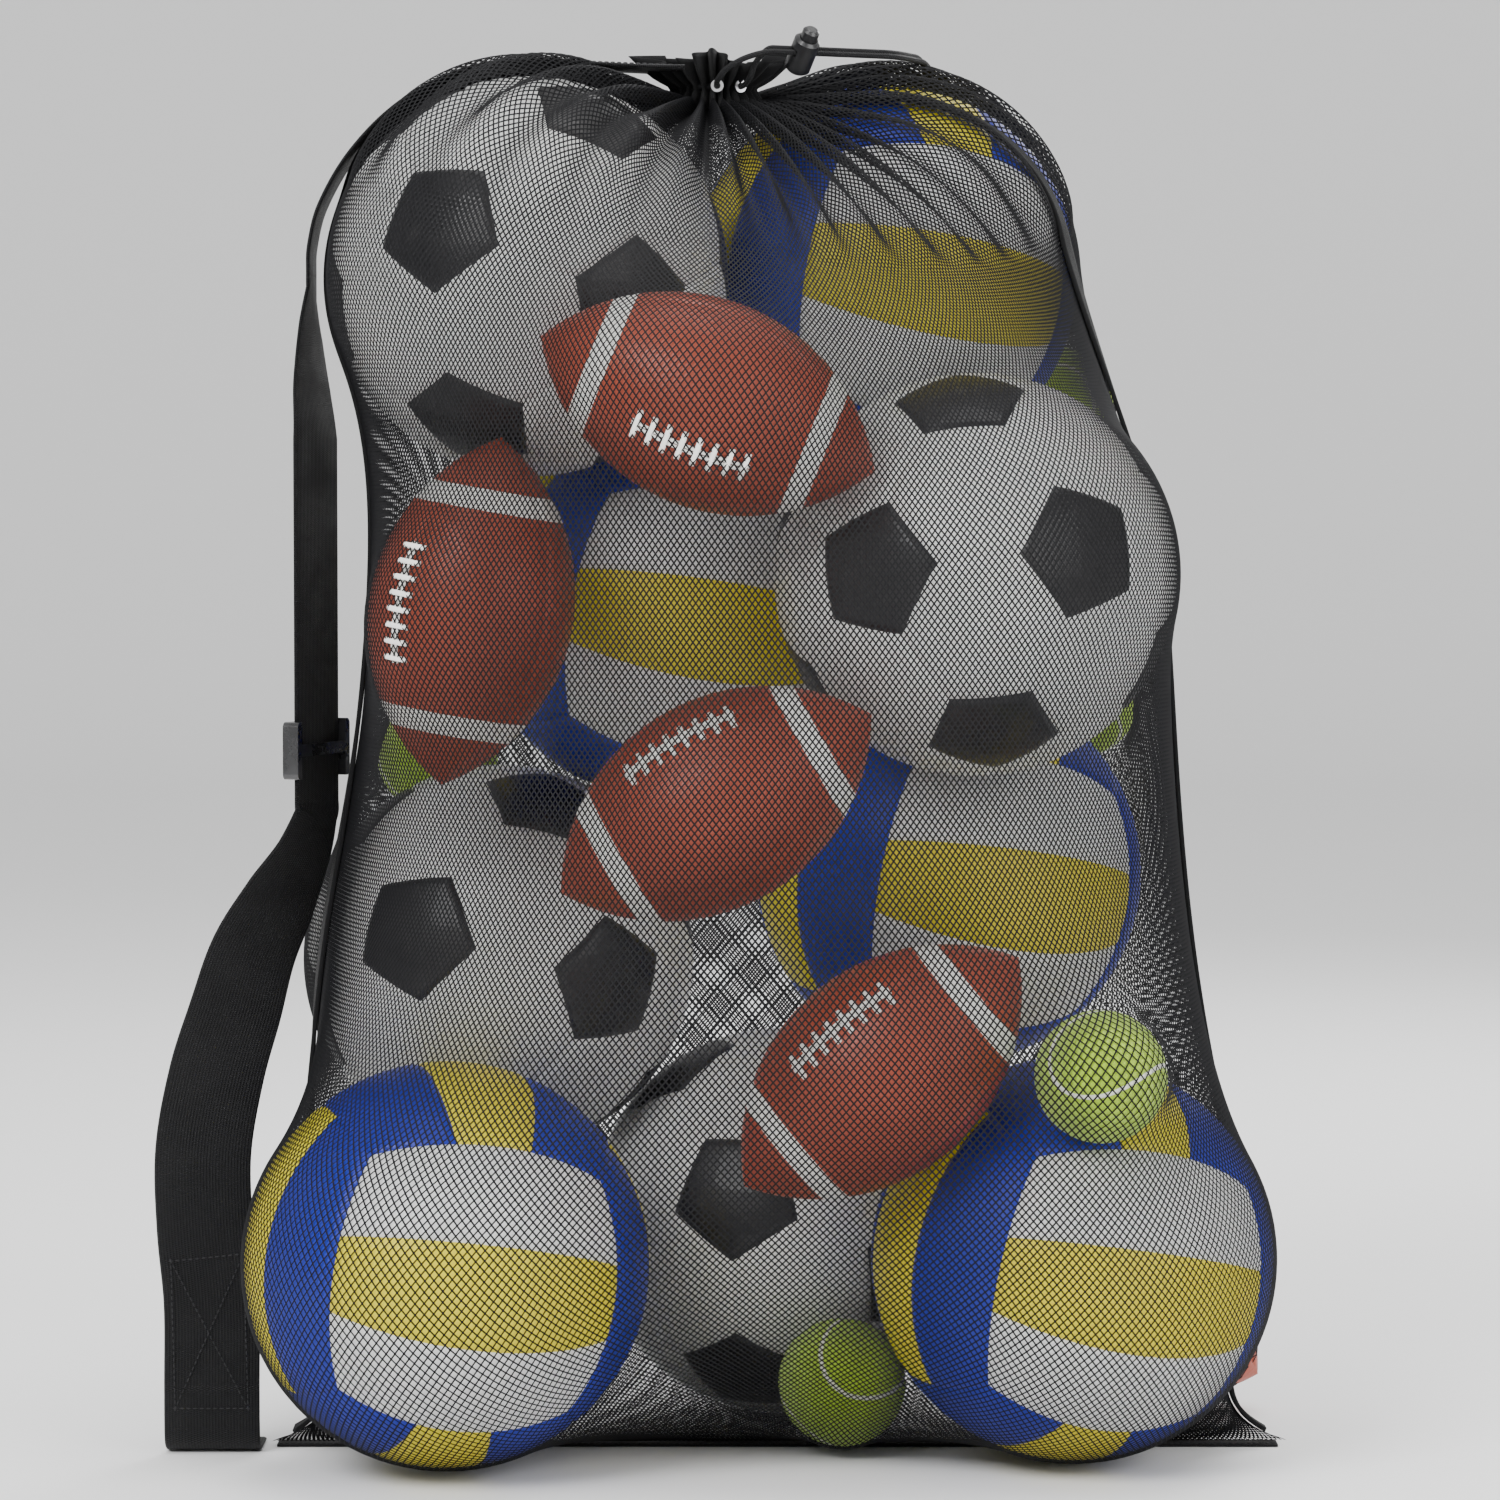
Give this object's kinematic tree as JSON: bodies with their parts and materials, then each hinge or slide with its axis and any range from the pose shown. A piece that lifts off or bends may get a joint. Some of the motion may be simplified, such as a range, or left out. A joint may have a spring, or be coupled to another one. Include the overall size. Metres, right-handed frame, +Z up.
{
  "type": "mesh ball bag",
  "caption": "Drawstring mesh sack packed with sports balls, gathered mouth with a sprung cord lock, and a webbing shoulder strap with a slider down one side.",
  "frame": {"origin": "on the floor, under the middle of the bag's width and depth", "axes": "+Z up, -Y towards the bag's front, -X towards the shoulder strap"},
  "size_m": [0.5985, 0.4027, 0.7447],
  "materials": {
    "mesh": "matte knitted polyester net",
    "hem_fabric": "matte gathered mesh and tape",
    "eyelet_metal": "satin",
    "seam_tape": "matte woven tape",
    "drawcord": "matte braided cord",
    "lock_plastic": "fine matte",
    "button_plastic": "fine matte",
    "spring_steel": "bright wire",
    "webbing": "satin woven webbing",
    "slider_plastic": "satin gloss",
    "soccer_cover": "smooth synthetic leather",
    "volleyball_cover": "soft synthetic leather",
    "football_cover": "pebbled leather",
    "football_lacing": "flat lace",
    "tennis_felt": "felt"
  },
  "bodies": {
    "bag": {"front_mesh_panel": "mesh", "back_mesh_panel": "mesh", "mouth_hem": "hem_fabric", "mouth_eyelet_left": "eyelet_metal", "mouth_eyelet_right": "eyelet_metal", "left_side_seam_tape": "seam_tape", "right_side_seam_tape": "seam_tape", "bottom_seam_binding": "seam_tape", "drawcord_hem_run": "drawcord", "drawcord_strand_a": "drawcord", "drawcord_strand_b": "drawcord", "drawcord_knot": "drawcord", "strap_top_run": "webbing", "strap_upper_run": "webbing", "strap_lower_run": "webbing", "strap_bottom_anchor": "webbing", "soccer_ball_1": "soccer_cover", "soccer_ball_2": "soccer_cover", "soccer_ball_3": "soccer_cover", "soccer_ball_4": "soccer_cover", "volleyball_1": "volleyball_cover", "volleyball_2": "volleyball_cover", "volleyball_3": "volleyball_cover", "volleyball_4": "volleyball_cover", "volleyball_5": "volleyball_cover", "football_1": "football_cover", "football_2": "football_cover", "football_3": "football_cover", "football_4": "football_cover", "football_5": "football_cover", "football_laces_1": "football_lacing", "football_laces_2": "football_lacing", "football_laces_3": "football_lacing", "football_laces_4": "football_lacing", "football_laces_5": "football_lacing", "tennis_ball_1": "tennis_felt", "tennis_ball_2": "tennis_felt", "tennis_ball_3": "tennis_felt", "tennis_ball_4": "tennis_felt", "tennis_ball_5": "tennis_felt"},
    "cord_lock": {"cord_lock_barrel": "lock_plastic", "cord_lock_spring": "spring_steel"},
    "lock_button": {"cord_lock_button": "button_plastic"},
    "slider": {"strap_slider": "slider_plastic"}
  },
  "joints": [
    {"name": "cord_lock_slide", "type": "slide", "parent": "bag", "child": "cord_lock", "axis": [0.866, 0.5, 0], "range_m": [-0.008, 0.036]},
    {"name": "lock_button_press", "type": "slide", "parent": "cord_lock", "child": "lock_button", "axis": [-0.3214, 0.5567, -0.766], "range_m": [0, 0.003], "stiffness_N_per_m": 1200, "deforming": ["cord_lock_spring"]},
    {"name": "strap_slider_slide", "type": "slide", "parent": "bag", "child": "slider", "axis": [0, 0, 1], "range_m": [-0.004, 0.12]}
  ]
}
